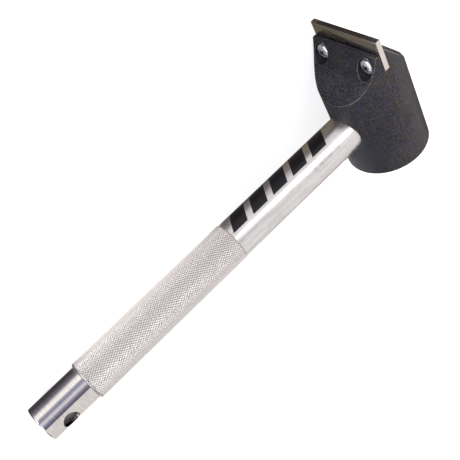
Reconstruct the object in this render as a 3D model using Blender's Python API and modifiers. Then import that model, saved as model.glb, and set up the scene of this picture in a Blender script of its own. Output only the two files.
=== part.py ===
# Algae scraper: a chisel-shaped plastic head on a knurled tube, with a clamped blade and a pole spigot.
# Tool frame: x along the blade, y from the handle's side to the back, z from the head's foot to the blade.
# The tool frame is then laid on its side, resting on the blade's end and the spigot's rim.
import math

import bmesh
import bpy
from mathutils import Matrix

mm = 0.001

# Head: a turned bar, hollowed in front and bevelled behind
head_radius = 28.0 * mm
head_foot_round = 0.9 * mm
head_edge_break = 0.35 * mm
front_jaw_height = 87.0 * mm
front_jaw_land = 2.9 * mm
hollow_drop = 27.0 * mm
hollow_radius = 58.0 * mm
rear_jaw_rise = 4.3 * mm
rear_jaw_land = 0.7 * mm
rear_bevel_angle = math.radians(37.2)

# Blade and its kerf
blade_overhang = 0.3 * mm
blade_width = 21.0 * mm
blade_thickness = 3.4 * mm
blade_reach = 9.4 * mm
blade_edge_break = 0.15 * mm
kerf_clearance = 0.3 * mm

# Clamp screws, washers and inserts
clamp_from_blade_end = 9.1 * mm
clamp_above_blade_foot = 4.0 * mm
jaw_under_washer = 2.1 * mm
screw_radius = 2.5 * mm
screw_head_radius = 5.0 * mm
screw_head_height = 3.1 * mm
screw_head_side = 1.3 * mm
recess_span = 5.0 * mm
recess_width = 1.2 * mm
recess_depth = 1.7 * mm
washer_radius = 5.2 * mm
washer_thickness = 0.9 * mm
counterbore_clearance = 0.8 * mm
screw_hole_clearance = 0.3 * mm
insert_radius = 3.5 * mm
insert_length = 5.0 * mm
insert_groove = 0.5 * mm
thread_clearance = 0.1 * mm
screw_point = 0.6 * mm

# Handle tube with its knurled band, distances run from the head's axis along the handle
handle_height = 34.4 * mm
tube_radius = 12.7 * mm
tube_wall = 1.65 * mm
tube_depth = 8.0 * mm
tube_end = 247.6 * mm
knurl_length = 119.4 * mm
knurl_rise = 0.45 * mm
knurl_end_round = 1.1 * mm

# Spigot for an extension pole
spigot_step = 0.95 * mm
shank_wall = 1.0 * mm
spigot_exposed = 34.5 * mm
spigot_shank = 40.0 * mm
spigot_round = 0.8 * mm
cross_hole_radius = 5.4 * mm
cross_hole_from_end = 14.7 * mm
cross_hole_turn = math.radians(-13.4)

# Plug in the tube and the bolt that draws the tube into the head
plug_length = 22.0 * mm
bolt_radius = 4.0 * mm
bolt_length = 26.0 * mm
bolt_head_radius = 6.5 * mm
bolt_head_height = 8.0 * mm
bolt_chamfer = 0.8 * mm
bolt_socket = 6.0 * mm
bolt_socket_depth = 4.0 * mm
bolt_seat_depth = 11.0 * mm
bolt_washer_radius = 8.0 * mm
bolt_washer_thickness = 1.6 * mm
bolt_hole_clearance = 0.3 * mm

# Gaps between pieces that touch
seat_gap = 0.1 * mm
fit_gap = 0.3 * mm

# How far a cutter runs past what it cuts
overrun = 20.0 * mm

kerf_half = blade_thickness / 2 + kerf_clearance
blade_length = 2 * (head_radius + blade_overhang)
blade_top = front_jaw_height + blade_reach
blade_foot = blade_top - blade_width
clamp_height = blade_foot + clamp_above_blade_foot
clamp_spacing = blade_length - 2 * clamp_from_blade_end
rear_jaw_height = front_jaw_height + rear_jaw_rise
counterbore_radius = washer_radius + counterbore_clearance
screw_hole_radius = screw_radius + screw_hole_clearance
washer_seat = kerf_half + jaw_under_washer
screw_seat = washer_seat + washer_thickness + 2 * seat_gap
insert_face = -kerf_half - fit_gap
screw_tip = insert_face - insert_length
tube_bore = tube_radius - tube_wall
shank_radius = tube_bore - fit_gap
spigot_radius = tube_radius - spigot_step
spigot_bore = shank_radius - shank_wall
spigot_end = tube_end + seat_gap + spigot_exposed
bolt_seat = head_radius - bolt_seat_depth


def clear_scene():
    for old in list(bpy.data.objects):
        bpy.data.objects.remove(old, do_unlink=True)


def make_collection(name):
    made = bpy.data.collections.new(name)
    bpy.context.scene.collection.children.link(made)
    return made


def make_material(name, colour, roughness, metallic):
    made = bpy.data.materials.new(name)
    made.use_nodes = True
    shader = made.node_tree.nodes["Principled BSDF"]
    shader.inputs["Base Color"].default_value = (*colour, 1.0)
    shader.inputs["Roughness"].default_value = roughness
    shader.inputs["Metallic"].default_value = metallic
    return made


def make_empty(name, parent=None, place=(0, 0, 0), turn=(0, 0, 0)):
    made = bpy.data.objects.new(name, None)
    made.empty_display_size = 0.02
    made.location = place
    made.rotation_euler = turn
    made.parent = parent
    parts.objects.link(made)
    return made


def add_object(name, data, parent, material=None):
    """An object of this data: a part where it has a material, and otherwise a hidden cutter."""
    made = bpy.data.objects.new(name, data)
    made.parent = parent
    if material:
        data.materials.append(material)
        parts.objects.link(made)
    else:
        made.hide_render = True
        made.display_type = "WIRE"
        cutters.objects.link(made)
    return made


def add_bmesh(name, bm, parent, material=None):
    mesh = bpy.data.meshes.new(name)
    bm.to_mesh(mesh)
    bm.free()
    return add_object(name, mesh, parent, material)


def turned(name, profile, parent, material=None, steps=48, ring=False):
    """A revolved piece: (radius, z) points that run down the outside, and back up the bore of a ring."""
    bm = bmesh.new()
    points = [bm.verts.new((radius, 0, z)) for radius, z in profile]
    for first, second in zip(points, points[1:]):
        bm.edges.new((first, second))
    if ring:
        bm.edges.new((points[-1], points[0]))
    made = add_bmesh(name, bm, parent, material)
    screw = made.modifiers.new("revolve", "SCREW")
    screw.axis = "Z"
    screw.steps = steps
    screw.render_steps = steps
    screw.use_merge_vertices = True
    screw.merge_threshold = 0.00001
    return made


def box(name, lows, highs, parent):
    """A box cutter between two corners."""
    bm = bmesh.new()
    middle = [(low + high) / 2 for low, high in zip(lows, highs)]
    size = [high - low for low, high in zip(lows, highs)]
    bmesh.ops.create_cube(bm, size=1, matrix=Matrix.LocRotScale(middle, None, size))
    return add_bmesh(name, bm, parent)


def bar(name, radius, low, high, parent, sides):
    """A round or many-sided bar cutter along z."""
    bm = bmesh.new()
    place = Matrix.Translation((0, 0, (low + high) / 2))
    bmesh.ops.create_cone(bm, cap_ends=True, segments=sides, radius1=radius, radius2=radius,
                          depth=high - low, matrix=place)
    return add_bmesh(name, bm, parent)


def plate(name, outline, thickness, parent, material):
    """A flat piece cut to an outline of (x, y) points, half its thickness on each side of z = 0."""
    curve = bpy.data.curves.new(name, "CURVE")
    curve.dimensions = "2D"
    curve.fill_mode = "BOTH"
    curve.extrude = thickness / 2
    spline = curve.splines.new("POLY")
    spline.points.add(len(outline) - 1)
    for point, (x, y) in zip(spline.points, outline):
        point.co = (x, y, 0, 1)
    spline.use_cyclic_u = True
    made = add_object(name, curve, parent, material)
    weld = made.modifiers.new("caps", "WELD")
    weld.merge_threshold = 0.00001
    return made


def arc(centre, radius, start, end, count):
    """Points of an arc, angles in degrees."""
    angles = [math.radians(start + (end - start) * i / count) for i in range(count + 1)]
    return [(centre[0] + radius * math.cos(a), centre[1] + radius * math.sin(a)) for a in angles]


def cut(target, *made_cutters):
    for cutter in made_cutters:
        boolean = target.modifiers.new(cutter.name, "BOOLEAN")
        boolean.operation = "DIFFERENCE"
        boolean.solver = "EXACT"
        boolean.object = cutter


def break_edges(target, width):
    # The weld clears the short edges that Booleans leave, which would hold the bevel back
    weld = target.modifiers.new("short_edges", "WELD")
    weld.merge_threshold = width / 6
    bevel = target.modifiers.new("edges", "BEVEL")
    bevel.width = width
    bevel.segments = 1
    bevel.use_clamp_overlap = False
    bevel.limit_method = "ANGLE"
    bevel.angle_limit = math.radians(40)


def rest_pose():
    """Place and turn that lay the tool on its side, with the blade's end and the spigot's rim at z = 0."""
    lowest = max(blade_length / 2, head_radius)
    span = math.hypot(spigot_end, spigot_radius)
    tilt = math.asin(lowest / span) - math.atan2(spigot_radius, spigot_end)
    lay = Matrix(((0, -1, 0), (0, 0, -1), (1, 0, 0)))
    turn = Matrix.Rotation(tilt, 3, "Y") @ lay
    far = spigot_end * math.cos(tilt) + spigot_radius * math.sin(tilt)
    drop = lowest * math.cos(tilt) + blade_thickness / 2 * math.sin(tilt)
    return ((head_radius - far) / 2, blade_top / 2, drop), turn.to_euler()


def hollow_centre():
    """Where the hollow's arc is centred: it runs from the front jaw's land to the front of the bar."""
    start_y = -kerf_half - front_jaw_land
    run_y = head_radius + start_y
    chord = math.hypot(run_y, hollow_drop)
    offset = math.sqrt(hollow_radius**2 - chord**2 / 4)
    y = start_y - run_y / 2 - offset * hollow_drop / chord
    z = front_jaw_height - hollow_drop / 2 + offset * run_y / chord
    return (0, y, z)


def make_head(frame, clamp_axes, handle_axis):
    foot = arc((head_radius - head_foot_round, head_foot_round), head_foot_round, 0, -90, 4)
    top = rear_jaw_height
    head = turned("head_body", [(0, top), (head_radius, top), *foot, (0, 0)], frame, black_plastic, 112)
    half = head_radius + overrun
    over = rear_jaw_height + overrun

    # The rear bevel passes through the back edge of the rear jaw's land
    ridge = make_empty("rear_bevel_line", frame, (0, kerf_half + rear_jaw_land, rear_jaw_height))
    ridge.rotation_euler.x = rear_bevel_angle - math.pi / 2
    cut(head, box("rear_bevel_cutter", (-over, -over, 0), (over, over, over), ridge))

    # Hollow front, the front jaw's land and the kerf between the jaws
    hollow_axis = make_empty("hollow_axis", frame, hollow_centre(), (0, math.pi / 2, 0))
    cut(head, bar("hollow_cutter", hollow_radius, -half, half, hollow_axis, 144))
    cut(head, box("front_land_cutter", (-half, -half, front_jaw_height), (half, 0, over), frame))
    kerf_floor = blade_foot - kerf_clearance
    cut(head, box("kerf_cutter", (-half, -kerf_half, kerf_floor), (half, kerf_half, over), frame))

    # Socket for the tube, and the stepped hole of the bolt behind it
    socket_floor = -tube_depth - fit_gap
    cut(head, bar("tube_socket_cutter", tube_radius + fit_gap, socket_floor, half, handle_axis, 64))
    hole = bolt_radius + bolt_hole_clearance
    seat = bolt_washer_radius + bolt_hole_clearance
    cut(head, bar("bolt_hole_cutter", hole, -half, 0, handle_axis, 40))
    cut(head, bar("bolt_seat_cutter", seat, -half, -bolt_seat, handle_axis, 40))

    # Each clamp hole is stepped: washer seat, screw clearance, then the insert's pocket
    pocket = insert_radius + fit_gap
    pocket_floor = screw_tip - fit_gap
    mouth = insert_face + 2 * fit_gap
    stepped = [(0, half), (counterbore_radius, half), (counterbore_radius, washer_seat),
               (screw_hole_radius, washer_seat), (screw_hole_radius, mouth), (pocket, mouth),
               (pocket, pocket_floor), (0, pocket_floor)]
    for side, axis in clamp_axes.items():
        cut(head, turned("clamp_hole_cutter_" + side, stepped, axis, steps=40))
    break_edges(head, head_edge_break)


def make_blade(frame):
    """The strip, with two notches, open below, that clear the clamp screws."""
    slide = make_empty("blade_slide", frame, (0, 0, blade_foot), (math.pi / 2, 0, 0))
    half = blade_length / 2
    outline = [(half, blade_width), (-half, blade_width), (-half, 0)]
    for x in (-clamp_spacing / 2, clamp_spacing / 2):
        outline.append((x - screw_hole_radius, 0))
        outline += arc((x, clamp_above_blade_foot), screw_hole_radius, 180, 0, 10)
        outline.append((x + screw_hole_radius, 0))
    outline.append((half, 0))
    blade = plate("scraper_blade", outline, blade_thickness, slide, steel)
    break_edges(blade, blade_edge_break)


def make_screw(side, axis):
    rim = screw_seat + screw_head_side
    crown = screw_head_height - screw_head_side
    dome = [(screw_head_radius * math.sin(a), rim + crown * math.cos(a))
            for a in (math.radians(15 * i) for i in range(7))]
    shank = [(screw_head_radius, screw_seat), (screw_radius, screw_seat),
             (screw_radius, screw_tip + screw_point), (screw_radius - screw_point, screw_tip), (0, screw_tip)]
    screw = turned("clamp_screw_" + side, dome + shank, axis, steel, 32)
    top = screw_seat + screw_head_height
    long_half = recess_span / 2
    wide_half = recess_width / 2
    for arm, x, y in (("a", long_half, wide_half), ("b", wide_half, long_half)):
        cut(screw, box("recess_cutter_" + side + "_" + arm, (-x, -y, top - recess_depth),
                       (x, y, top + overrun), axis))


def make_ring(name, hole, radius, low, high, axis, material):
    outline = [(hole, high), (radius, high), (radius, low), (hole, low)]
    turned(name, outline, axis, material, 32, ring=True)


def make_insert(side, axis):
    thread = screw_radius + thread_clearance
    waist = insert_radius - insert_groove
    third = insert_length / 3
    turned("threaded_insert_" + side,
           [(thread, insert_face), (insert_radius, insert_face), (insert_radius, insert_face - third),
            (waist, insert_face - third), (waist, insert_face - 2 * third),
            (insert_radius, insert_face - 2 * third), (insert_radius, insert_face - insert_length),
            (thread, insert_face - insert_length)], axis, brass, 32, ring=True)


def make_tube(axis):
    """The handle tube, with a raised band where the knurl is rolled."""
    band = tube_radius + knurl_rise
    start = tube_end - knurl_length
    rim = arc((band - knurl_end_round, tube_end - knurl_end_round), knurl_end_round, 90, 0, 4)
    outline = [(tube_bore, tube_end), *rim, (band, start + knurl_rise), (tube_radius, start),
               (tube_radius, -tube_depth), (tube_bore, -tube_depth)]
    turned("handle_tube", outline, axis, aluminium, 64, ring=True)


def make_spigot(axis):
    shoulder = tube_end + seat_gap
    inner = shoulder - spigot_shank
    rim = arc((spigot_radius - spigot_round, spigot_end - spigot_round), spigot_round, 90, 0, 4)
    outline = [(spigot_bore, spigot_end), *rim, (spigot_radius, shoulder), (shank_radius, shoulder),
               (shank_radius, inner), (spigot_bore, inner)]
    spigot = turned("pole_spigot", outline, axis, polished_steel, 64, ring=True)
    hole_axis = make_empty("cross_hole_axis", axis, (0, 0, spigot_end - cross_hole_from_end),
                           (math.pi / 2, 0, math.pi / 2 + cross_hole_turn))
    half = spigot_radius + overrun
    cut(spigot, bar("cross_hole_cutter", cross_hole_radius, -half, half, hole_axis, 40))


def make_fixing(axis):
    """Plug in the tube's inner end, with the bolt and washer that pull it into the head from the back."""
    low = fit_gap - tube_depth
    plug_hole = bolt_radius + thread_clearance
    make_ring("tube_plug", plug_hole, shank_radius, low, low + plug_length, axis, aluminium)
    face = -bolt_seat - seat_gap
    back = face - bolt_washer_thickness
    make_ring("bolt_washer", bolt_radius + bolt_hole_clearance, bolt_washer_radius, back, face, axis, steel)
    seat = back - seat_gap
    end = seat - bolt_head_height
    tip = seat + bolt_length
    bolt = turned("head_bolt",
                  [(0, tip), (bolt_radius - bolt_chamfer, tip), (bolt_radius, tip - bolt_chamfer),
                   (bolt_radius, seat), (bolt_head_radius, seat), (bolt_head_radius, end + bolt_chamfer),
                   (bolt_head_radius - bolt_chamfer, end), (0, end)], axis, steel, 32)
    corner = bolt_socket / math.sqrt(3)
    cut(bolt, bar("socket_cutter", corner, end - overrun, end + bolt_socket_depth, axis, 6))


clear_scene()
parts = make_collection("algae_scraper")
cutters = make_collection("cutters")
cutters.hide_render = True
black_plastic = make_material("black plastic", (0.035, 0.034, 0.038), 0.55, 0.0)
steel = make_material("stainless steel", (0.62, 0.61, 0.59), 0.28, 1.0)
polished_steel = make_material("polished steel", (0.75, 0.75, 0.78), 0.08, 1.0)
aluminium = make_material("aluminium", (0.80, 0.79, 0.78), 0.35, 1.0)
brass = make_material("brass", (0.72, 0.52, 0.22), 0.35, 1.0)

rest_place, rest_turn = rest_pose()
tool = make_empty("tool_frame", None, rest_place, rest_turn)
handle = make_empty("handle_axis", tool, (0, 0, handle_height), (math.pi / 2, 0, 0))
clamps = {}
for side_name, sign in (("left", -1), ("right", 1)):
    place = (sign * clamp_spacing / 2, 0, clamp_height)
    clamps[side_name] = make_empty("clamp_axis_" + side_name, tool, place, (math.pi / 2, 0, 0))

make_head(tool, clamps, handle)
make_blade(tool)
for side_name, clamp in clamps.items():
    make_screw(side_name, clamp)
    under = washer_seat + seat_gap
    make_ring("clamp_washer_" + side_name, screw_hole_radius, washer_radius, under, under + washer_thickness,
                clamp, steel)
    make_insert(side_name, clamp)
make_tube(handle)
make_spigot(handle)
make_fixing(handle)
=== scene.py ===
# Algae scraper, dressed for the studio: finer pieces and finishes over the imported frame.
import math

import bpy
from mathutils import Matrix, Quaternion, Vector


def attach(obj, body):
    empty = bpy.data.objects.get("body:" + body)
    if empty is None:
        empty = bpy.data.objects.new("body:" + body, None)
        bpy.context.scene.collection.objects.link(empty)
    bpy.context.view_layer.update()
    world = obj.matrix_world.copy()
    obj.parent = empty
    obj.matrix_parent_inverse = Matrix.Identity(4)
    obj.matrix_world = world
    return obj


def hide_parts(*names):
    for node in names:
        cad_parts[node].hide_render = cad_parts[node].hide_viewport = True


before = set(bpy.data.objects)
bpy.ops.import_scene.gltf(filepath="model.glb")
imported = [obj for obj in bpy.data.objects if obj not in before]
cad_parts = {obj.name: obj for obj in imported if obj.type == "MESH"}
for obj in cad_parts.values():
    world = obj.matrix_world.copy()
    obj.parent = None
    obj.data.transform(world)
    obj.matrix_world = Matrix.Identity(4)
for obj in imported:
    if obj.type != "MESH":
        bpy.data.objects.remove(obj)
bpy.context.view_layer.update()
mm = 0.001
quarterTurn = math.pi / 2
hair = 0.001 * mm  # points this close stand in the same place
weldGap = 0.002 * mm
shortEdge = 0.05 * mm  # the shortest edges that a Boolean leaves, which a bevel can't round
print("frame loaded:", len(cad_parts), "nodes")

# The tool lies on its side. Tool frame: x along the blade, y to the back, z from the foot to the blade.
pose = {"origin": (-0.127202, 0.0482, 0.028351), "tilt": math.radians(3.3663)}
layDown = Matrix(((0, -1, 0, 0), (0, 0, -1, 0), (1, 0, 0, 0), (0, 0, 0, 1)))
toolPlace = Matrix.Translation(pose["origin"]) @ Matrix.Rotation(pose["tilt"], 4, "Y") @ layDown
layout = {"handleZ": 34.4, "clampX": 19.2, "clampZ": 79.4}  # where axes cross the kerf's plane, in mm


def frontAxis(x, z):  # in the tool frame, a place on the kerf's plane whose z axis points out of the front
    return Matrix.Translation((x * mm, 0, z * mm)) @ Matrix.Rotation(quarterTurn, 4, "X")


handlePlace = toolPlace @ frontAxis(0, layout["handleZ"])


def newPiece(addPrimitive, name, **settings):
    bpy.ops.object.select_all(action="DESELECT")
    addPrimitive(**settings)
    piece = bpy.context.active_object
    piece.name = name
    piece.data.name = name
    bpy.ops.object.transform_apply(location=True, rotation=True, scale=True)
    return piece


def only(piece):
    bpy.ops.object.select_all(action="DESELECT")
    piece.select_set(True)
    bpy.context.view_layer.objects.active = piece


def edit(piece, mode="VERT"):
    only(piece)
    bpy.ops.object.mode_set(mode="EDIT")
    bpy.ops.mesh.select_mode(type=mode)
    bpy.ops.mesh.select_all(action="DESELECT")


def leaveEdit():
    bpy.ops.object.mode_set(mode="OBJECT")


def pickVerts(piece, test):  # selects the vertices that pass the test
    bpy.ops.mesh.select_all(action="DESELECT")
    leaveEdit()
    for vert in piece.data.vertices:
        vert.select = test(vert.co)
    bpy.ops.object.mode_set(mode="EDIT")


def pickEdges(piece, test):  # selects the edges whose two ends pass the test
    bpy.ops.mesh.select_all(action="DESELECT")
    leaveEdit()
    points = piece.data.vertices
    for edge in piece.data.edges:
        edge.select = test(points[edge.vertices[0]].co, points[edge.vertices[1]].co)
    bpy.ops.object.mode_set(mode="EDIT")


def place(piece, where):  # moves a piece from its own bench to the tool, with the place in its mesh
    only(piece)
    piece.matrix_world = where
    bpy.ops.object.transform_apply(location=True, rotation=True, scale=True)


def pullRings(rings):  # extrudes what is selected from ring to ring, each one (radius, height) in mm
    for (radius, height), (nextRadius, nextHeight) in zip(rings, rings[1:]):
        rise = (nextHeight - height) * mm
        bpy.ops.mesh.extrude_region_move(TRANSFORM_OT_translate={"value": (0, 0, rise)})
        grow = nextRadius / radius
        bpy.ops.transform.resize(value=(grow, grow, 1), center_override=(0, 0, nextHeight * mm))


def closeUp(piece):
    bpy.ops.mesh.select_all(action="SELECT")
    bpy.ops.mesh.remove_doubles(threshold=weldGap)
    bpy.ops.mesh.normals_make_consistent(inside=False)
    leaveEdit()
    return piece


def turned(name, rings, segments, fill="NGON"):  # a solid turned piece
    radius, height = rings[0]
    piece = newPiece(bpy.ops.mesh.primitive_circle_add, name, vertices=segments, radius=radius * mm,
                     fill_type=fill, location=(0, 0, height * mm))
    edit(piece)
    bpy.ops.mesh.select_all(action="SELECT")
    pullRings(rings)
    return closeUp(piece)


def turnedRing(name, rings, segments):  # a turned piece with a bore: the rings come back to the first one
    return turned(name, [*rings, rings[0]], segments, fill="NOTHING")


def bar(name, radius, low, high, segments):  # a plain round cutter along z
    return turned(name, [(radius, low), (radius, high)], segments)


def block(name, low, high):  # a box between two corners in mm
    middle = [(a + b) / 2 * mm for a, b in zip(low, high)]
    size = [(b - a) * mm for a, b in zip(low, high)]
    return newPiece(bpy.ops.mesh.primitive_cube_add, name, size=1, location=middle, scale=size)


def runModifier(piece, kind, **settings):
    only(piece)
    modifier = piece.modifiers.new(kind.lower(), kind)
    for key, value in settings.items():
        setattr(modifier, key, value)
    bpy.ops.object.modifier_apply(modifier=modifier.name)


def carve(piece, *cutters):
    for cutter in cutters:
        runModifier(piece, "BOOLEAN", operation="DIFFERENCE", solver="EXACT", object=cutter)
        bpy.data.objects.remove(cutter)


def soften(piece, width, segments, angle, finish=-1):  # rounds the edges that turn by more than this angle
    edit(piece)
    bpy.ops.mesh.select_all(action="SELECT")
    bpy.ops.mesh.remove_doubles(threshold=shortEdge)
    leaveEdit()
    runModifier(piece, "BEVEL", width=width * mm, segments=segments, limit_method="ANGLE",
                angle_limit=math.radians(angle), use_clamp_overlap=False, material=finish)


def arcRings(radius, height, size, start, end, count):  # part of a round, angles in degrees
    angles = [math.radians(start + (end - start) * i / count) for i in range(count + 1)]
    return [(radius + size * math.cos(a), height + size * math.sin(a)) for a in angles]


def dress(piece, material, body, nodeName, angle=30):
    only(piece)
    bpy.ops.object.shade_smooth_by_angle(angle=math.radians(angle))
    if material.name not in piece.data.materials:
        piece.data.materials.append(material)
    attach(piece, body)
    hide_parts(nodeName)


def node(tree, kind, **settings):
    made = tree.nodes.new(kind)
    for key, value in settings.items():
        if key in made.inputs:
            made.inputs[key].default_value = value
        else:
            setattr(made, key, value)
    return made


def maths(tree, operation, first, second=None):  # a Math node fed by sockets or numbers
    made = node(tree, "ShaderNodeMath", operation=operation)
    for slotNumber, value in enumerate((first, second)):
        if value is None:
            continue
        if isinstance(value, (int, float)):
            made.inputs[slotNumber].default_value = value
        else:
            tree.links.new(value, made.inputs[slotNumber])
    return made.outputs[0]


def times(tree, first, second):
    return maths(tree, "MULTIPLY", first, second)


def plus(tree, first, second):
    return maths(tree, "ADD", first, second)


def minus(tree, first, second):
    return maths(tree, "SUBTRACT", first, second)


def larger(tree, first, second):
    return maths(tree, "MAXIMUM", first, second)


def distance(tree, first, second):  # how far out two ways across an axis lead
    return maths(tree, "SQRT", plus(tree, maths(tree, "POWER", first, 2), maths(tree, "POWER", second, 2)))


def blend(tree, first, second, share):  # the first by its share and the second by the rest
    return plus(tree, times(tree, first, share), times(tree, second, 1 - share))


def ramp(tree, value, low, high, outLow=0.0, outHigh=1.0):  # an eased change between two values
    made = node(tree, "ShaderNodeMapRange", interpolation_type="SMOOTHSTEP")
    tree.links.new(value, made.inputs["Value"])
    for key, number in (("From Min", low), ("From Max", high), ("To Min", outLow), ("To Max", outHigh)):
        made.inputs[key].default_value = number
    return made.outputs["Result"]


def near(tree, value, middle, reach, edge):  # 1 within a reach of the middle, 0 past its edge
    away = maths(tree, "ABSOLUTE", minus(tree, value, middle))
    return ramp(tree, away, reach, reach + edge, 1, 0)


def noise(tree, vector, scale, detail=3.0, roughness=0.55):
    made = node(tree, "ShaderNodeTexNoise", Scale=scale, Detail=detail, Roughness=roughness)
    tree.links.new(vector, made.inputs["Vector"])
    return made.outputs["Fac"]


def colourMix(tree, factor, first, second):
    made = node(tree, "ShaderNodeMix", data_type="RGBA")
    tree.links.new(factor, made.inputs[0])
    # By number, because a Mix node's colour sockets share their names with its other sockets
    for socket, value in ((made.inputs[6], first), (made.inputs[7], second)):
        if isinstance(value, tuple):
            socket.default_value = (*value, 1)
        else:
            tree.links.new(value, socket)
    return made.outputs[2]


def bands(tree, value, stops):  # colours in a row along a value, each stop (place, colour)
    made = node(tree, "ShaderNodeValToRGB")
    tree.links.new(value, made.inputs["Fac"])
    marks = made.color_ramp.elements
    marks[0].position, marks[0].color = stops[0][0], (*stops[0][1], 1)
    marks[1].position, marks[1].color = stops[-1][0], (*stops[-1][1], 1)
    for spot, colour in stops[1:-1]:
        marks.new(spot).color = (*colour, 1)
    return made.outputs["Color"]


def objectVector(tree):
    return node(tree, "ShaderNodeTexCoord").outputs["Object"]


def splitVector(tree, vector):
    parts = node(tree, "ShaderNodeSeparateXYZ")
    tree.links.new(vector, parts.inputs[0])
    return parts.outputs["X"], parts.outputs["Y"], parts.outputs["Z"]


def scaled(tree, vector, factor):
    made = node(tree, "ShaderNodeVectorMath", operation="SCALE")
    tree.links.new(vector, made.inputs[0])
    tree.links.new(factor, made.inputs["Scale"])
    return made.outputs["Vector"]


# Shared effects: each group puts out masks and heights only
def newGroup(name, inputName, *outputNames):
    group = bpy.data.node_groups.new(name, "ShaderNodeTree")
    given = group.interface.new_socket(inputName, in_out="INPUT", socket_type="NodeSocketFloat")
    given.default_value = 1.0
    for outputName in outputNames:
        group.interface.new_socket(outputName, in_out="OUTPUT", socket_type="NodeSocketFloat")
    return group, group.nodes.new("NodeGroupInput"), group.nodes.new("NodeGroupOutput")


def buildLines(name, stretch):  # fine lines one way, as left by drawing a tube or grinding a blade
    lines = {"scale": 1.0, "blotchScale": 55.0, "detail": 4.0, "roughness": 0.6}
    group, given, out = newGroup(name, "Fineness", "Lines", "Blotches")
    where = objectVector(group)
    turn = node(group, "ShaderNodeMapping", vector_type="POINT", Rotation=(0, -pose["tilt"], 0),
                Scale=stretch)
    group.links.new(where, turn.inputs["Vector"])
    stretched = scaled(group, turn.outputs["Vector"], given.outputs["Fineness"])
    noises = (("Lines", stretched, lines["scale"]), ("Blotches", where, lines["blotchScale"]))
    for key, vector, scale in noises:
        found = noise(group, vector, scale, lines["detail"], lines["roughness"])
        group.links.new(found, out.inputs[key])
    return group


def buildGrain():  # fine mottling of a sawn and turned plastic, each noise by its scale, detail and roughness
    grain = {"fine": (900.0, 5.0, 0.65), "cloud": (60.0, 5.0, 0.6), "speck": (420.0, 2.0, 0.5),
             "tint": (430.0, 2.0, 0.6), "speckRange": (0.66, 0.76), "tintRange": (0.41, 0.59)}
    group, given, out = newGroup("plasticGrain", "Size", "Grain", "Cloud", "Specks", "Tint")
    where = scaled(group, objectVector(group), given.outputs["Size"])
    found = {"Grain": noise(group, where, *grain["fine"]),
             "Cloud": noise(group, where, *grain["cloud"]),
             "Specks": ramp(group, noise(group, where, *grain["speck"]), *grain["speckRange"]),
             "Tint": ramp(group, noise(group, where, *grain["tint"]), *grain["tintRange"])}
    for key, value in found.items():
        group.links.new(value, out.inputs[key])
    return group


drawnLines = buildLines("drawnLines", (28, 700, 700))
turnedLines = buildLines("turnedLines", (1500, 160, 160))
groundLines = buildLines("groundLines", (700, 700, 12))
plasticGrain = buildGrain()


def newMaterial(name, roughness, metallic, colour=(0.5, 0.5, 0.5)):
    material = bpy.data.materials.new(name)
    material.use_nodes = True
    shader = material.node_tree.nodes["Principled BSDF"]
    shader.inputs["Base Color"].default_value = (*colour, 1)
    shader.inputs["Roughness"].default_value = roughness
    shader.inputs["Metallic"].default_value = metallic
    return material, material.node_tree, shader


def useGroup(tree, group, **values):
    made = tree.nodes.new("ShaderNodeGroup")
    made.node_tree = group
    for key, value in values.items():
        made.inputs[key].default_value = value
    return made.outputs


def feed(tree, shader, key, value):
    tree.links.new(value, shader.inputs[key])


def fedBy(shader, key):  # the socket that feeds an input now
    return shader.inputs[key].links[0].from_socket


def addBump(tree, shader, height, strength, depth):
    bump = node(tree, "ShaderNodeBump", Strength=strength, Distance=depth)
    tree.links.new(height, bump.inputs["Height"])
    feed(tree, shader, "Normal", bump.outputs["Normal"])


def makeMetal(name, lines, dark, light, rough, bump, fineness=1.0):  # a metal that shows how it was worked
    metal = {"specularTint": (0.64, 0.61, 0.59, 1), "lineShare": 0.7, "toneRange": (0.35, 0.65),
             "roughRange": (0.3, 0.7), "bumpStrength": 0.25}
    material, tree, shader = newMaterial(name, roughness=rough[0], metallic=1.0)
    shader.inputs["Specular Tint"].default_value = metal["specularTint"]
    marks = useGroup(tree, lines, Fineness=fineness)
    tone = blend(tree, marks["Lines"], marks["Blotches"], metal["lineShare"])
    feed(tree, shader, "Base Color", colourMix(tree, ramp(tree, tone, *metal["toneRange"]), dark, light))
    feed(tree, shader, "Roughness", ramp(tree, tone, *metal["roughRange"], *rough))
    addBump(tree, shader, marks["Lines"], metal["bumpStrength"], bump)
    return material, tree, shader


def toolCoords(tree):  # sockets for x along the blade, y to the back and z from the foot
    back = toolPlace.inverted()
    turn = node(tree, "ShaderNodeMapping", vector_type="POINT", Rotation=back.to_euler(),
                Location=back.to_translation())
    tree.links.new(objectVector(tree), turn.inputs["Vector"])
    return splitVector(tree, turn.outputs["Vector"])


def handleCoords(tree):  # sockets for the two ways across the handle, the radius and the reach along it
    local = node(tree, "ShaderNodeVectorMath", operation="SUBTRACT")
    tree.links.new(objectVector(tree), local.inputs[0])
    local.inputs[1].default_value = handlePlace.translation
    found = []
    for axis in handlePlace.to_3x3().col:
        dot = node(tree, "ShaderNodeVectorMath", operation="DOT_PRODUCT")
        tree.links.new(local.outputs["Vector"], dot.inputs[0])
        dot.inputs[1].default_value = axis
        found.append(dot.outputs["Value"])
    acrossX, acrossY, reach = found
    return acrossX, acrossY, distance(tree, acrossX, acrossY), reach


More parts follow.
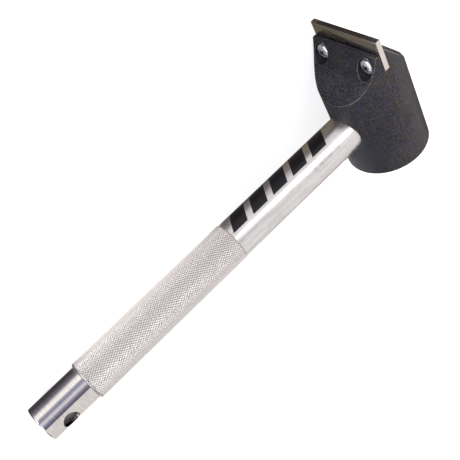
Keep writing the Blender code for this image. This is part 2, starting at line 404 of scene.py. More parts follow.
def makePlastic(hollowAt, hollowRadius):  # painted light low in the hollow and on the land, painted shade high in the hollow, in the seats and by the foot
    plastic = {"dark": (0.007, 0.0065, 0.012), "cool": (0.056, 0.058, 0.088), "brown": (0.084, 0.066, 0.047),
               "pale": (0.142, 0.134, 0.165), "speck": (0.12, 0.11, 0.10), "rough": 0.5, "specular": 0.2,
               "grainShare": 0.8, "toneRange": (0.34, 0.66), "roughRange": (0.3, 0.7, 0.40, 0.62),
               "speckStrength": 0.5, "bumpStrength": 0.35, "bump": 0.00022,
               "axisEdge": (0.0003, 0.0001), "seatRadius": 0.006, "seatShade": 0.45, "paintedLandLight": 0.85}
    # Along a way of the tool frame, each fade has its two ends and what it gives there
    fades = {"paintedLightTop": (0.076, 0.067, 0.0, 0.56), "paintedLightFoot": (0.0600, 0.0655, 0.35, 1.0),
             "landTop": (0.0866, 0.0869), "landFront": (0.0, -0.001), "upperShade": (0.067, 0.076, 0.0, 0.30),
             "footShade": (0.066, 0.004, 0.20, 0.64), "sideShade": (0.028, 0.016, 0.06, 1.0)}
    material, tree, shader = newMaterial("matteBlackPlastic", plastic["rough"], metallic=0.0)
    shader.inputs["Specular IOR Level"].default_value = plastic["specular"]
    x, y, z = toolCoords(tree)
    grain = useGroup(tree, plasticGrain, Size=1.0)

    def within(first, second, axis, radius):  # 1 nearer to an axis than this radius
        away = distance(tree, minus(tree, first, axis[0]), minus(tree, second, axis[1]))
        return ramp(tree, away, *(radius + edge for edge in plastic["axisEdge"]))

    inHollow = within(y, z, hollowAt, hollowRadius)
    clampAxis = (layout["clampX"] * mm, layout["clampZ"] * mm)
    inSeat = within(maths(tree, "ABSOLUTE", x), z, clampAxis, plastic["seatRadius"])
    # Painted light: paler low in the hollow and on the land under the blade. Painted shade: darker high in
    # the hollow, in the screw seats and towards the foot, least on the upper side
    bright = times(tree, ramp(tree, z, *fades["paintedLightTop"]), ramp(tree, z, *fades["paintedLightFoot"]))
    onLand = times(tree, ramp(tree, z, *fades["landTop"]), ramp(tree, y, *fades["landFront"]))
    paintedLight = larger(tree, times(tree, inHollow, bright), times(tree, onLand, plastic["paintedLandLight"]))
    upperShade = times(tree, inHollow, ramp(tree, z, *fades["upperShade"]))
    seatShade = times(tree, inSeat, plastic["seatShade"])
    footShade = times(tree, ramp(tree, z, *fades["footShade"]), ramp(tree, x, *fades["sideShade"]))
    shade = larger(tree, larger(tree, upperShade, seatShade), footShade)
    tone = blend(tree, grain["Grain"], grain["Cloud"], plastic["grainShare"])
    light = colourMix(tree, grain["Tint"], plastic["cool"], plastic["brown"])
    light = colourMix(tree, paintedLight, light, plastic["pale"])
    light = colourMix(tree, shade, light, plastic["dark"])
    base = colourMix(tree, ramp(tree, tone, *plastic["toneRange"]), plastic["dark"], light)
    flecks = times(tree, grain["Specks"], plastic["speckStrength"])
    feed(tree, shader, "Base Color", colourMix(tree, flecks, base, plastic["speck"]))
    feed(tree, shader, "Roughness", ramp(tree, tone, *plastic["roughRange"]))
    addBump(tree, shader, grain["Grain"], plastic["bumpStrength"], plastic["bump"])
    return material


def makeWornAndHighlitEdge():  # the head's cut edges, paler in patches, partly wear and partly painted highlight, but not along the lip under the blade
    wornAndHighlit = {"base": (0.040, 0.037, 0.042), "rubbedAndHighlit": (0.15, 0.137, 0.126), "lip": (0.034, 0.033, 0.040),
            "rough": 0.42, "specular": 0.3, "grainSize": 0.8, "cloudShare": 0.5, "patchRange": (0.41, 0.57),
            "sideRange": (-0.006, 0.016, 0.3, 1.0), "lipY": (-0.0370, -0.0376), "lipZ": (0.053, 0.047),
            "roughRange": (0, 1, 0.5, 0.36), "bumpStrength": 0.3, "bump": 0.0002}
    material, tree, shader = newMaterial("wornAndHighlitPlasticEdge", wornAndHighlit["rough"], metallic=0.0)
    shader.inputs["Specular IOR Level"].default_value = wornAndHighlit["specular"]
    grain = useGroup(tree, plasticGrain, Size=wornAndHighlit["grainSize"])
    _, y, z = splitVector(tree, objectVector(tree))
    onLip = times(tree, ramp(tree, y, *wornAndHighlit["lipY"]), ramp(tree, z, *wornAndHighlit["lipZ"]))
    patches = ramp(tree, blend(tree, grain["Cloud"], grain["Grain"], wornAndHighlit["cloudShare"]), *wornAndHighlit["patchRange"])
    # Painted highlight, partly wear: the pale patches grow towards the head's upper side, where the light
    # falls
    rubAndHighlight = times(tree, patches, ramp(tree, toolCoords(tree)[0], *wornAndHighlit["sideRange"]))
    rubbedAndHighlit = colourMix(tree, rubAndHighlight, wornAndHighlit["base"], wornAndHighlit["rubbedAndHighlit"])
    feed(tree, shader, "Base Color", colourMix(tree, onLip, rubbedAndHighlit, wornAndHighlit["lip"]))
    feed(tree, shader, "Roughness", ramp(tree, rubAndHighlight, *wornAndHighlit["roughRange"]))
    addBump(tree, shader, grain["Grain"], wornAndHighlit["bumpStrength"], wornAndHighlit["bump"])
    return material


def makeBladeMetal(half):  # ground steel, paler on the two sawn ends, partly their bare cut and partly painted light
    steel = {"dark": (0.49, 0.455, 0.435), "light": (0.65, 0.61, 0.59), "rough": (0.20, 0.32),
             "bump": 0.00002}
    ends = {"colour": (0.72, 0.66, 0.60), "depth": (0.3, 0.1)}
    material, tree, shader = makeMetal("groundSteel", groundLines, **steel)
    out = maths(tree, "ABSOLUTE", toolCoords(tree)[0])
    # Painted light on the sawn ends, over their paler bare cut
    atEnd = ramp(tree, out, *((half - depth) * mm for depth in ends["depth"]))
    feed(tree, shader, "Base Color", colourMix(tree, atEnd, fedBy(shader, "Base Color"), ends["colour"]))
    return material


def makeSpigotMetal(outside, bore):  # bright outside, greyer on the cross hole's wall, duller in the bore
    steel = {"dark": (0.59, 0.555, 0.535), "light": (0.72, 0.675, 0.65), "rough": (0.07, 0.13),
             "bump": 0.00001}
    inner = {"wall": (0.45, 0.43, 0.43), "wallRough": 0.16, "wallDepth": (0.25, 0.45),
             "bore": (0.34, 0.32, 0.315), "boreRough": 0.42, "boreCover": (0.35, 0.15)}
    material, tree, shader = makeMetal("polishedSteel", turnedLines, **steel)
    radius = handleCoords(tree)[2]
    inside = ramp(tree, radius, *((outside - depth) * mm for depth in inner["wallDepth"]))
    inBore = ramp(tree, radius, *((bore + cover) * mm for cover in inner["boreCover"]))
    for key, wall, deep in (("Base Color", inner["wall"], inner["bore"]),
                            ("Roughness", (inner["wallRough"],) * 3, (inner["boreRough"],) * 3)):
        inward = colourMix(tree, inBore, wall, deep)
        feed(tree, shader, key, colourMix(tree, inside, fedBy(shader, key), inward))
    return material


def barredMark(tree, mark, around, reach):  # 1 on a row of slanted bars
    stripe = plus(tree, reach, times(tree, around, mark["slant"]))
    phase = maths(tree, "FRACT", maths(tree, "DIVIDE", minus(tree, stripe, mark["start"]), mark["pitch"]))
    bars = near(tree, phase, 0.5, mark["filled"] / 2, mark["barEdge"])  # each in the middle of its pitch
    across = near(tree, around, 0, mark["half"], mark["edge"])
    middle = (mark["start"] + mark["end"]) / 2
    along = near(tree, stripe, middle, mark["end"] - middle, mark["edge"])
    return times(tree, times(tree, bars, across), along)


def wornTube(tree, wear, turn, reach, drawn):  # fine pits all over, and one dulled scuff
    where = objectVector(tree)
    pits = ramp(tree, noise(tree, where, *wear["pitNoise"]), *wear["pitRange"])
    patchy = ramp(tree, noise(tree, where, wear["scuffNoise"]), *wear["scuffRange"])
    scuff = times(tree, near(tree, turn, *wear["scuffTurn"]), patchy)
    scuff = times(tree, scuff, near(tree, reach, *wear["scuffReach"]))
    return colourMix(tree, scuff, colourMix(tree, pits, drawn, wear["pit"]), wear["dulled"])


# The mark and the wear are in metres and radians about the handle, the grip in mm
def makeTubeMetal(tube, gripEnd):  # drawn aluminium with a plain barred mark, and a knurl with bright crests, grooves darker partly by dirt and partly by painted shade, and painted shade on its end lip
    drawn = {"dark": (0.63, 0.60, 0.59), "light": (0.77, 0.74, 0.73), "rough": (0.24, 0.36), "bump": 0.00002}
    mark = {"start": 0.038, "end": 0.121, "middle": math.radians(99), "half": 0.0092, "pitch": 0.0172,
            "filled": 0.70, "slant": 0.55, "barEdge": 0.012, "edge": 0.0002, "ink": (0.008, 0.008, 0.012)}
    wear = {"pit": (0.40, 0.385, 0.39), "pitNoise": (420.0, 4.0, 0.65), "pitRange": (0.56, 0.70, 0.0, 0.4),
            "dulled": (0.40, 0.41, 0.47), "scuffTurn": (math.radians(28), 0.02, 0.08),
            "scuffReach": (0.050, 0.009, 0.006), "scuffNoise": 300.0, "scuffRange": (0.42, 0.58, 0.0, 0.6)}
    grip = {"groove": (0.47, 0.44, 0.43), "crest": (0.82, 0.775, 0.75), "crestRise": (0.02, 0.30),
            "lip": (0.40, 0.38, 0.385), "lipReach": (-0.1, 0.5), "fade": 0.7, "rougher": 0.12,
            "metallic": 0.8}
    material, tree, shader = makeMetal("drawnAluminium", drawnLines, **drawn)
    acrossX, acrossY, radius, reach = handleCoords(tree)
    turn = maths(tree, "ARCTAN2", acrossY, acrossX)
    around = times(tree, minus(tree, turn, mark["middle"]), tube["radius"] * mm)
    inked = barredMark(tree, mark, around, reach)
    knurled = ramp(tree, reach, (tube["start"] - grip["fade"]) * mm, tube["start"] * mm)
    rough = plus(tree, fedBy(shader, "Roughness"), times(tree, knurled, grip["rougher"]))
    feed(tree, shader, "Roughness", rough)
    # The grooves' darker colour is partly dirt and partly painted shade
    raised = ramp(tree, radius, *((tube["valley"] + rise) * mm for rise in grip["crestRise"]))
    crests = colourMix(tree, raised, grip["groove"], grip["crest"])
    # Painted shade along the knurl's rounded end lip
    onLip = ramp(tree, reach, *((gripEnd + past) * mm for past in grip["lipReach"]))
    crests = colourMix(tree, onLip, crests, grip["lip"])
    plain = wornTube(tree, wear, turn, reach, fedBy(shader, "Base Color"))
    metal = colourMix(tree, knurled, plain, crests)
    feed(tree, shader, "Base Color", colourMix(tree, inked, metal, mark["ink"]))
    feed(tree, shader, "Metallic", minus(tree, ramp(tree, knurled, 0, 1, 1.0, grip["metallic"]), inked))
    return material


def makeScrewMetal():  # bright plated steel for screws, washers and the bolt
    plated = {"dark": (0.74, 0.74, 0.75), "light": (0.88, 0.88, 0.89), "rough": (0.20, 0.32), "bump": 0.00001}
    plating = 0.75  # a little less than bare metal
    material, _, shader = makeMetal("brightScrew", drawnLines, **plated, fineness=2.0)
    shader.inputs["Metallic"].default_value = plating
    return material


screwMetal = makeScrewMetal()
# A near-black finish for the screws' cross recess: painted shade
screwRecessShade = newMaterial("screwRecessShade", roughness=0.45, metallic=1.0, colour=(0.02, 0.02, 0.024))[0]
brass = {"dark": (0.55, 0.36, 0.13), "light": (0.72, 0.51, 0.22), "rough": (0.22, 0.36), "bump": 0.00002}
brassMetal = makeMetal("machinedBrass", drawnLines, **brass, fineness=2.0)[0]
plug = {"dark": (0.60, 0.59, 0.585), "light": (0.74, 0.73, 0.72), "rough": (0.28, 0.42), "bump": 0.00002}
plugMetal = makeMetal("machinedAluminium", drawnLines, **plug, fineness=2.0)[0]
print("shared finishes made")

head = {"radius": 28, "foot": 0.9, "frontJaw": 87, "rearJaw": 91.3, "kerf": 2.0, "kerfFloor": 75.1,
        "land": 2.9, "rearLand": 0.7, "rearAngle": 37.2, "rim": 2.0, "hollowDrop": 27, "hollowRadius": 58,
        "edge": 0.4, "socket": 13.0, "socketFloor": -8.3, "boltHole": 4.3, "boltSeat": 8.3,
        "boltSeatFloor": -17, "screwSeat": 6.0, "screwSeatFloor": 4.1, "screwHole": 2.8,
        "pocket": 3.8, "pocketMouth": -1.4, "pocketFloor": -7.6}
cutters = {"wide": head["radius"] + 20, "over": 120, "far": 160}  # how far the head's cutters reach


def turnHead():  # a round bar with a softened foot, bevelled behind
    onSkin, onPlane = 0.1, 0.01  # how near counts as on it
    foot = arcRings(head["radius"] - head["foot"], head["foot"], head["foot"], start=-90, end=0, count=5)
    piece = turned("head", [*foot, (head["radius"], 2 * head["rearJaw"])], segments=180)
    wide, far = cutters["wide"], cutters["far"]
    rear = block("rearCut", (-wide, -far, 0), (wide, far, far))
    ridgeY = head["kerf"] + head["rearLand"]
    ridge = Matrix.Translation((0, ridgeY * mm, head["rearJaw"] * mm))
    place(rear, ridge @ Matrix.Rotation(math.radians(head["rearAngle"] - 90), 4, "X"))
    carve(piece, rear)
    slope = math.tan(math.radians(head["rearAngle"]))

    def onRim(co):  # on the bar's outside, where the rear bevel meets it
        bevelZ = head["rearJaw"] - (co.y / mm - ridgeY) / slope
        return math.hypot(co.x, co.y) > (head["radius"] - onSkin) * mm and abs(co.z / mm - bevelZ) < onPlane

    edit(piece, "EDGE")
    pickEdges(piece, lambda a, b: onRim(a) and onRim(b))
    bpy.ops.mesh.bevel(offset=head["rim"] * mm, segments=1, affect="EDGES", clamp_overlap=False)
    leaveEdit()
    return piece


def hollowAxis():  # the axis of a round that runs from the land's edge down to the bar's front
    startY = -head["kerf"] - head["land"]
    runY = head["radius"] + startY
    chord = math.hypot(runY, head["hollowDrop"])
    offset = math.sqrt(head["hollowRadius"] ** 2 - chord**2 / 4)
    centreY = startY - runY / 2 - offset * head["hollowDrop"] / chord
    centreZ = head["frontJaw"] - head["hollowDrop"] / 2 + offset * runY / chord
    return centreY * mm, centreZ * mm


def makeHead():
    piece = turnHead()
    wide, over = cutters["wide"], cutters["over"]
    topCut = block("topCut", (-wide, -wide, head["rearJaw"]), (wide, wide, 3 * head["rearJaw"]))
    kerfCut = block("kerfCut", (-wide, -head["kerf"], head["kerfFloor"]), (wide, head["kerf"], over))
    landCut = block("landCut", (-wide, -wide, head["frontJaw"]), (wide, 0, over))
    hollow = bar("hollowCut", head["hollowRadius"], -wide, wide, segments=256)
    place(hollow, Matrix.Translation((0, *hollowAxis())) @ Matrix.Rotation(quarterTurn, 4, "Y"))
    socket = bar("socketCut", head["socket"], head["socketFloor"], wide, segments=96)
    boltHole = bar("boltHoleCut", head["boltHole"], -wide, 0, segments=48)
    boltSeat = bar("boltSeatCut", head["boltSeat"], -wide, head["boltSeatFloor"], segments=64)
    for cutter in (socket, boltHole, boltSeat):
        place(cutter, frontAxis(0, layout["handleZ"]))
    carve(piece, topCut, kerfCut, landCut, hollow, socket, boltHole, boltSeat)
    clampRings = [(head["screwSeat"], wide), (head["screwSeat"], head["screwSeatFloor"]),
                  (head["screwHole"], head["screwSeatFloor"]), (head["screwHole"], head["pocketMouth"]),
                  (head["pocket"], head["pocketMouth"]), (head["pocket"], head["pocketFloor"])]
    for x in (-layout["clampX"], layout["clampX"]):
        clampHole = turned("clampHoleCut", clampRings, segments=56)
        place(clampHole, frontAxis(x, layout["clampZ"]))
        carve(piece, clampHole)
    blackPlastic = makePlastic(hollowAxis(), head["hollowRadius"] * mm)
    for finish in (blackPlastic, makeWornAndHighlitEdge()):
        piece.data.materials.append(finish)
    soften(piece, head["edge"], segments=3, angle=28, finish=1)  # in the edge finish of wear and painted highlight
    place(piece, toolPlace)
    dress(piece, blackPlastic, "handle_and_head", "head_body")


def makeBlade():
    blade = {"half": 28.3, "foot": 75.4, "top": 96.4, "thick": 3.4, "notch": 2.8, "edge": 0.18, "spare": 10}
    half, side, spare = blade["half"], blade["thick"] / 2, blade["spare"]
    piece = block("blade", (-half, -side, blade["foot"]), (half, side, blade["top"]))
    for x in (-layout["clampX"], layout["clampX"]):
        eye = bar("notchEye", blade["notch"], -spare, spare, segments=40)
        place(eye, frontAxis(x, layout["clampZ"]))
        notchSlot = block("notchSlot", (x - blade["notch"], -spare, blade["foot"] - spare),
                          (x + blade["notch"], spare, layout["clampZ"]))
        carve(piece, eye, notchSlot)
    soften(piece, blade["edge"], segments=2, angle=38)
    place(piece, toolPlace)
    dress(piece, makeBladeMetal(half), "blade", "scraper_blade")


def makeWasher(name, washer, where, body, nodeName):
    bore, radius, low, high, edge = (washer[key] for key in ("bore", "radius", "low", "high", "edge"))
    rings = [(bore, high), (radius - edge, high), (radius, high - edge),
             (radius, low + edge), (radius - edge, low), (bore, low)]
    piece = turnedRing(name, rings, segments=64)
    place(piece, where)
    dress(piece, screwMetal, body, nodeName)


def cutRecess(piece, recess, top):  # a cross of two arms, each narrower at its floor
    low = (-recess["half"], -recess["arm"], top - recess["depth"])
    high = (recess["half"], recess["arm"], top + recess["spare"])
    for turn in (0, 90):
        arm = block("recessArm", low, high)
        edit(arm)
        pickVerts(arm, lambda co: co.z < top * mm)
        bpy.ops.transform.resize(value=recess["taper"], center_override=(0, 0, top * mm))
        leaveEdit()
        place(arm, Matrix.Rotation(math.radians(turn + recess["turn"]), 4, "Z"))
        carve(piece, arm)


def makeScrew(side, x):
    screw = {"seat": 5.2, "headRadius": 5.0, "side": 1.3, "height": 3.1, "shank": 2.5, "tip": -7.3,
             "point": 0.6, "rim": 0.25, "domeAngles": (0, 12, 24, 36, 48, 60, 70, 78, 84), "edge": 0.12}
    recess = {"half": 3.6, "arm": 0.95, "depth": 1.7, "spare": 2, "taper": (0.45, 0.8, 1), "turn": 40,
              "darkReach": 0.6, "darkFloor": 1.8, "skin": 0.15}
    washer = {"bore": 2.8, "radius": 5.2, "low": 4.2, "high": 5.1, "edge": 0.15}
    radius, shank, seat = screw["headRadius"], screw["shank"], screw["seat"]
    crown = screw["height"] - screw["side"]
    shoulder = seat + screw["side"]
    top = seat + screw["height"]
    angles = [math.radians(angle) for angle in screw["domeAngles"]]
    dome = [(radius * math.cos(a), shoulder + crown * math.sin(a)) for a in angles]
    rings = [(shank - screw["point"], screw["tip"]), (shank, screw["tip"] + screw["point"]), (shank, seat),
             (radius - screw["rim"], seat), (radius, seat + screw["rim"]), *dome]
    piece = turned("clampScrew" + side, rings, segments=64)
    cutRecess(piece, recess, top)
    for finish in (screwMetal, screwRecessShade):
        piece.data.materials.append(finish)
    for face in piece.data.polygons:  # painted shade: the recess, what lies below the dome's skin, gets the near-black finish
        out = min(1, math.hypot(face.center.x, face.center.y) / (radius * mm))
        skin = shoulder + crown * math.sqrt(1 - out**2)
        height = face.center.z / mm
        if out < recess["darkReach"] and top - recess["darkFloor"] < height < skin - recess["skin"]:
            face.material_index = 1
    soften(piece, screw["edge"], segments=2, angle=42)
    where = toolPlace @ frontAxis(x, layout["clampZ"])
    place(piece, where)
    low = side.lower()
    dress(piece, screwMetal, "screw_" + low, "clamp_screw_" + low, angle=35)
    makeWasher("clampWasher" + side, washer, where, "washer_" + low, "clamp_washer_" + low)


def makeTube():
    tube = {"radius": 12.7, "bore": 11.05, "inner": -8.0, "start": 128.2, "end": 247.6, "around": 104,
            "rows": 96, "valley": 12.74, "inset": 0.45, "rise": 0.36, "capInset": 0.09, "capRise": 0.04,
            "step": 0.02, "lip": 1.1, "lipRise": 0.4}
    gripEnd = tube["end"] - tube["lip"]
    gripLength = (gripEnd - tube["start"]) * mm
    piece = newPiece(bpy.ops.mesh.primitive_cylinder_add, "handleTube", vertices=tube["around"],
                     radius=tube["valley"] * mm, depth=gripLength, end_fill_type="NOTHING",
                     location=(0, 0, (gripEnd + tube["start"]) / 2 * mm))
    edit(piece, "EDGE")
    pickEdges(piece, lambda a, b: abs(a.z - b.z) > gripLength / 2)
    bpy.ops.mesh.subdivide(number_cuts=tube["rows"] - 1)
    bpy.ops.mesh.select_mode(type="VERT")
    bpy.ops.mesh.select_all(action="SELECT")
    bpy.ops.mesh.unsubdivide(iterations=1)  # the square grid becomes the knurl's diamonds
    bpy.ops.mesh.select_mode(type="FACE")
    bpy.ops.mesh.select_all(action="SELECT")
    for inset, rise in ((tube["inset"], tube["rise"]), (tube["capInset"], tube["capRise"])):
        bpy.ops.mesh.inset(thickness=inset * mm, depth=rise * mm, use_individual=True)
    bpy.ops.mesh.select_mode(type="EDGE")
    gripStart = tube["start"] * mm
    pickEdges(piece, lambda a, b: max(abs(a.z - gripStart), abs(b.z - gripStart)) < hair)
    pullRings([(tube["valley"], tube["start"]), (tube["radius"], tube["start"] - tube["step"]),
               (tube["radius"], tube["inner"]), (tube["bore"], tube["inner"]), (tube["bore"], tube["end"])])
    lipRadius = tube["radius"] + tube["lipRise"] - tube["lip"]
    lip = arcRings(lipRadius, gripEnd, tube["lip"], start=90, end=0, count=5)
    pullRings([(tube["bore"], tube["end"]), *lip, (tube["valley"], gripEnd)])
    closeUp(piece)
    place(piece, handlePlace)
    dress(piece, makeTubeMetal(tube, gripEnd), "handle_and_head", "handle_tube", angle=26)


def makeSpigot():
    spigot = {"radius": 11.75, "bore": 9.75, "shank": 10.75, "shoulder": 247.7, "inner": 207.7, "end": 282.2,
              "round": 0.8, "boreEdge": 0.4, "hole": 5.4, "holeAt": 267.5, "holeTurn": -13.4, "holeReach": 40}
    radius, bore, shank, end = spigot["radius"], spigot["bore"], spigot["shank"], spigot["end"]
    rim = arcRings(radius - spigot["round"], end - spigot["round"], spigot["round"], start=90, end=0, count=6)
    rings = [(bore, end - spigot["boreEdge"]), (bore + spigot["boreEdge"], end), *rim,
             (radius, spigot["shoulder"]), (shank, spigot["shoulder"]), (shank, spigot["inner"]),
             (bore, spigot["inner"])]
    piece = turnedRing("poleSpigot", rings, segments=320)
    hole = bar("crossHole", spigot["hole"], -spigot["holeReach"], spigot["holeReach"], segments=96)
    turn = Matrix.Rotation(quarterTurn + math.radians(spigot["holeTurn"]), 4, "Z")
    across = turn @ Matrix.Rotation(quarterTurn, 4, "X")
    place(hole, Matrix.Translation((0, 0, spigot["holeAt"] * mm)) @ across)
    carve(piece, hole)
    place(piece, handlePlace)
    dress(piece, makeSpigotMetal(radius, bore), "handle_and_head", "pole_spigot")


def makeBolt():
    bolt = {"seat": -18.8, "end": -26.8, "radius": 4, "head": 6.5, "tip": 7.2, "chamfer": 0.8, "edge": 0.15,
            "key": 6.0, "keyDepth": 4, "spare": 5}
    washer = {"bore": 4.3, "radius": 8.0, "low": -18.7, "high": -17.1, "edge": 0.2}
    radius, chamfer, end = bolt["radius"], bolt["chamfer"], bolt["end"]
    rings = [(bolt["head"] - chamfer, end), (bolt["head"], end + chamfer), (bolt["head"], bolt["seat"]),
             (radius, bolt["seat"]), (radius, bolt["tip"] - chamfer), (radius - chamfer, bolt["tip"])]
    piece = turned("headBolt", rings, segments=64)
    keyRadius = bolt["key"] / math.sqrt(3)  # from the key's width across flats
    carve(piece, bar("keyCut", keyRadius, end - bolt["spare"], end + bolt["keyDepth"], segments=6))
    soften(piece, bolt["edge"], segments=2, angle=40)
    place(piece, handlePlace)
    dress(piece, screwMetal, "handle_and_head", "head_bolt")
    makeWasher("boltWasher", washer, handlePlace, "handle_and_head", "bolt_washer")


makeHead()
print("head made")
makeBlade()
for sideName, sideX in (("Left", -layout["clampX"]), ("Right", layout["clampX"])):
    makeScrew(sideName, sideX)
print("blade and clamps made")
makeTube()
makeSpigot()
makeBolt()
print("handle made")

hiddenFinishes = {"threaded_insert_left": brassMetal, "threaded_insert_right": brassMetal,
                  "tube_plug": plugMetal}
for hidden, finish in hiddenFinishes.items():
    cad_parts[hidden].data.materials.clear()
    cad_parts[hidden].data.materials.append(finish)


# Studio: pale floor, white background, soft lamps and a few cards that only reflections see
def seenDirectly(tree):  # 1 for the camera, mirror and glass rays, 0 for the rays that light the object
    path = node(tree, "ShaderNodeLightPath")
    mirror = larger(tree, path.outputs["Is Camera Ray"], path.outputs["Is Glossy Ray"])
    return larger(tree, mirror, path.outputs["Is Transmission Ray"])


def makeFloor():
    floor = {"size": 8.0, "height": -0.0002, "colour": (0.5, 0.5, 0.5), "rough": 0.9, "glow": 0.82}
    piece = newPiece(bpy.ops.mesh.primitive_plane_add, "floor", size=floor["size"],
                     location=(0, 0, floor["height"]))
    material, tree, shader = newMaterial("paleFloor", floor["rough"], metallic=0.0, colour=floor["colour"])
    shader.inputs["Specular IOR Level"].default_value = 0.0
    shader.inputs["Emission Color"].default_value = (1, 1, 1, 1)
    feed(tree, shader, "Emission Strength", times(tree, seenDirectly(tree), floor["glow"]))
    piece.data.materials.append(material)


def makeWorld():
    sky = {"light": (0.90, 0.95, 1.10), "lightStrength": 0.34, "seen": (1, 1, 1), "seenStrength": 1.0}
    world = bpy.data.worlds.new("studio")
    bpy.context.scene.world = world
    world.use_nodes = True
    tree = world.node_tree
    back = tree.nodes["Background"]
    seen = seenDirectly(tree)
    feed(tree, back, "Color", colourMix(tree, seen, sky["light"], sky["seen"]))
    feed(tree, back, "Strength", ramp(tree, seen, 0, 1, sky["lightStrength"], sky["seenStrength"]))


def addLamp(name, spot, aim, size, power, colour, mirrored):
    lamp = bpy.data.lights.new(name, "AREA")
    lamp.shape = "RECTANGLE"
    lamp.size, lamp.size_y = size
    lamp.energy = power
    lamp.color = colour
    lampObject = bpy.data.objects.new(name, lamp)
    bpy.context.scene.collection.objects.link(lampObject)
    lampObject.location = spot
    lampObject.visible_glossy = mirrored
    lampObject.rotation_euler = (Vector(aim) - Vector(spot)).to_track_quat("-Z", "Y").to_euler()


def addLamps():
    lamps = {"keyLamp": {"spot": (-0.37, -0.471, 0.712), "aim": (-0.06, 0, 0.02), "size": (0.54, 0.20),
                         "power": 1.2, "colour": (1.0, 0.99, 0.97), "mirrored": True},
             "backLamp": {"spot": (-0.75, 0.10, 0.75), "aim": (-0.10, 0.0, 0.03), "size": (0.6, 0.6),
                          "power": 8.0, "colour": (1.0, 0.88, 0.79), "mirrored": False},
             "endLamp": {"spot": (0.87, -0.06, 0.16), "aim": (-0.10, 0.0, 0.03), "size": (0.24, 0.24),
                         "power": 6.0, "colour": (0.82, 0.89, 1.0), "mirrored": False}}
    for name, lamp in lamps.items():
        addLamp(name, **lamp)


def cardMaterial(name, brightness):
    material, tree, shader = newMaterial(name, roughness=1.0, metallic=0.0, colour=(0, 0, 0))
    shader.inputs["Specular IOR Level"].default_value = 0.0
    shader.inputs["Emission Color"].default_value = (*brightness, 1)
    shader.inputs["Emission Strength"].default_value = 1.0
    return material, tree, shader


def reflectionOnly(piece, material):
    piece.data.materials.append(material)
    piece.visible_camera = False
    piece.visible_diffuse = False
    piece.visible_shadow = False
    piece.visible_transmission = False


def flatCard(name, where, size):
    piece = newPiece(bpy.ops.mesh.primitive_plane_add, name, size=1)
    place(piece, where @ Matrix.Diagonal((*size, 1, 1)))
    return piece


def addSweep():  # a curved backdrop round the handle's line, its colours by degrees up from the front horizon
    sweep = {"middle": (1.90, 0.0138, 0.02), "radius": 0.85, "length": 4.0}
    stops = ((0, (1.5, 1.5, 1.47)), (6, (1.48, 1.47, 1.46)), (10.3, (1.16, 1.16, 1.22)),
             (19.8, (0.43, 0.44, 0.60)), (31.4, (0.38, 0.40, 0.545)), (40.6, (0.83, 0.84, 0.94)),
             (47, (1.0, 1.0, 1.06)), (52, (0.92, 0.92, 1.0)), (59, (0.48, 0.49, 0.64)),
             (70.6, (0.22, 0.23, 0.33)), (80, (0.165, 0.165, 0.23)), (84.6, (0.17, 0.165, 0.225)),
             (86, (1, 1, 1)))
    material, tree, shader = cardMaterial("sweep", (1, 1, 1))
    _, axisY, axisZ = sweep["middle"]
    _, y, z = splitVector(tree, objectVector(tree))
    turn = maths(tree, "ARCTAN2", minus(tree, z, axisZ), minus(tree, axisY, y))
    halfTurns = [(angle / 180, colour) for angle, colour in stops]
    lit = bands(tree, maths(tree, "DIVIDE", turn, math.pi), halfTurns)
    feed(tree, shader, "Emission Color", lit)
    piece = newPiece(bpy.ops.mesh.primitive_cylinder_add, "sweep", vertices=96, radius=sweep["radius"],
                     depth=sweep["length"], end_fill_type="NOTHING", location=sweep["middle"],
                     rotation=(0, quarterTurn, 0))
    reflectionOnly(piece, material)


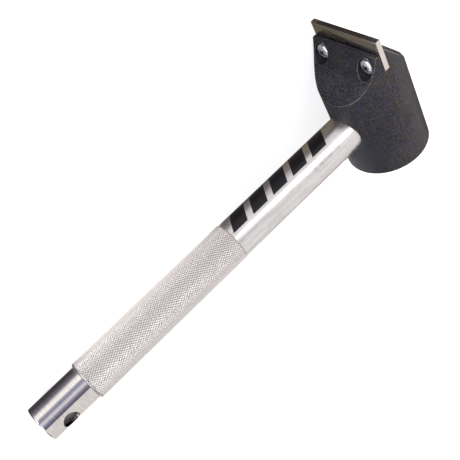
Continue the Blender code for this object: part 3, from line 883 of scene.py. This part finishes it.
def addFrontTable():  # a reflection-only card in front: dark by the pole end, pale by the grip, warmer before the blade; its dark stretches by the head, before the blade and under the handle are painted shadow
    table = {"spot": (0.1, -0.28, 0.0004), "size": (0.8, 0.64), "poleBack": 0.004, "poleRun": 0.084,
             "paleNear": (1.36, 1.31, 1.28), "paleFar": (1.35, 1.31, 1.29), "midNear": (0.17, 0.16, 0.165),
             "midFar": (0.56, 0.54, 0.54), "midGrip": (0.88, 0.85, 0.85), "warm": (0.23, 0.20, 0.155),
             "edge": (0.05, 0.045, 0.045), "under": (0.16, 0.15, 0.16), "beyond": (1.1, 1.1, 1.1)}
    poleStops = ((0, (0.075, 0.07, 0.09)), (0.08, (0.08, 0.077, 0.095)), (0.14, (0.143, 0.14, 0.155)),
                 (0.26, (0.235, 0.232, 0.28)), (0.43, (0.54, 0.53, 0.60)), (0.64, (1.0, 0.99, 1.0)),
                 (0.88, (1.35, 1.34, 1.33)))
    # Where each stretch of the card fades in, along the handle (x) and out from it (y)
    fades = {"outwardY": (-0.010, -0.10), "gripX": (-0.13, -0.04), "poleX": (0.112, 0.122),
             "headX": (0.006, -0.006), "warmX": (-0.05, -0.07), "warmY": (-0.06, -0.05),
             "edgeX": (-0.08, -0.10), "edgeY": (-0.046, -0.052), "underX": (0.0, -0.01),
             "underY": (0.006, 0.012), "beyondX": (-0.01, 0.0), "beyondY": (0.004, 0.008)}
    bladeCard = {"spot": (-0.09, 0.019, 0.0008), "size": (0.06, 0.03)}
    material, tree, shader = cardMaterial("frontTable", table["edge"])
    x, y, _ = splitVector(tree, objectVector(tree))

    def corner(name):  # 1 where both of a stretch's fades are through
        return times(tree, ramp(tree, x, *fades[name + "X"]), ramp(tree, y, *fades[name + "Y"]))

    outward = ramp(tree, y, *fades["outwardY"])
    poleShare = maths(tree, "DIVIDE", minus(tree, table["poleBack"], y), table["poleRun"])
    grip = colourMix(tree, outward, table["paleNear"], table["paleFar"])
    handleEnd = colourMix(tree, ramp(tree, x, *fades["poleX"]), grip, bands(tree, poleShare, poleStops))
    tubeFar = colourMix(tree, ramp(tree, x, *fades["gripX"]), table["midFar"], table["midGrip"])
    headEnd = colourMix(tree, outward, table["midNear"], tubeFar)
    cardColour = colourMix(tree, ramp(tree, x, *fades["headX"]), handleEnd, headEnd)
    # Painted shadow: the warm and under stretches, with the dark near side by the head, stand for the head's
    # and handle's shadow on the floor
    for name in ("warm", "edge", "under", "beyond"):
        cardColour = colourMix(tree, corner(name), cardColour, table[name])
    feed(tree, shader, "Emission Color", cardColour)
    reflectionOnly(flatCard("frontTable", Matrix.Translation(table["spot"]), table["size"]), material)
    # A small warm card under the blade: painted shadow for the blade's reflection
    underBlade = flatCard("underBlade", Matrix.Translation(bladeCard["spot"]), bladeCard["size"])
    reflectionOnly(underBlade, cardMaterial("underBlade", table["warm"])[0])


def addCards():  # dark cloths for the plastic's sheen, and two bright cards that the knurl's faces catch
    cardColour = (0.08, 0.075, 0.08)
    cards = {"backCloth": {"spot": (-0.78, 0.55, 0.0004), "facing": (0, 0, 1), "size": (1.24, 1.2),
                           "glow": cardColour},
             "farCloth": {"spot": (0.62, 0.46, 0.34), "facing": (-0.72, -0.54, -0.44), "size": (0.48, 0.58),
                          "glow": cardColour},
             "frontCard": {"spot": (0.62, -0.72, 0.20), "facing": (-0.64, 0.74, -0.18), "size": (0.30, 0.30),
                           "glow": (9.0, 9.3, 9.8)},
             "gripCard": {"spot": (0.71, -0.17, 0.48), "facing": (-0.65, 0.17, -0.45), "size": (0.42, 0.42),
                          "glow": (3.4, 3.3, 3.2)}}
    for name, card in cards.items():
        turn = Vector(card["facing"]).to_track_quat("Z", "Y").to_matrix().to_4x4()
        piece = flatCard(name, Matrix.Translation(card["spot"]) @ turn, card["size"])
        reflectionOnly(piece, cardMaterial(name, card["glow"])[0])


def makeCamera():
    view = {"spot": (0.1177, -0.32824, 0.36431), "turn": (0.318094, 0.250721, -0.299025, 0.864025),
            "sensor": 36, "lens": 63.946, "clipStart": 0.01}
    camera = bpy.data.cameras.new("camera")
    camera.sensor_fit = "HORIZONTAL"
    camera.sensor_width = view["sensor"]
    camera.lens = view["lens"]
    camera.clip_start = view["clipStart"]
    cameraObject = bpy.data.objects.new("camera", camera)
    bpy.context.scene.collection.objects.link(cameraObject)
    cameraObject.location = view["spot"]
    cameraObject.rotation_mode = "QUATERNION"
    cameraObject.rotation_quaternion = Quaternion(view["turn"])
    bpy.context.scene.camera = cameraObject


makeFloor()
makeWorld()
addLamps()
addSweep()
addFrontTable()
addCards()
makeCamera()
bpy.context.scene.view_settings.view_transform = "Standard"
print("studio made")
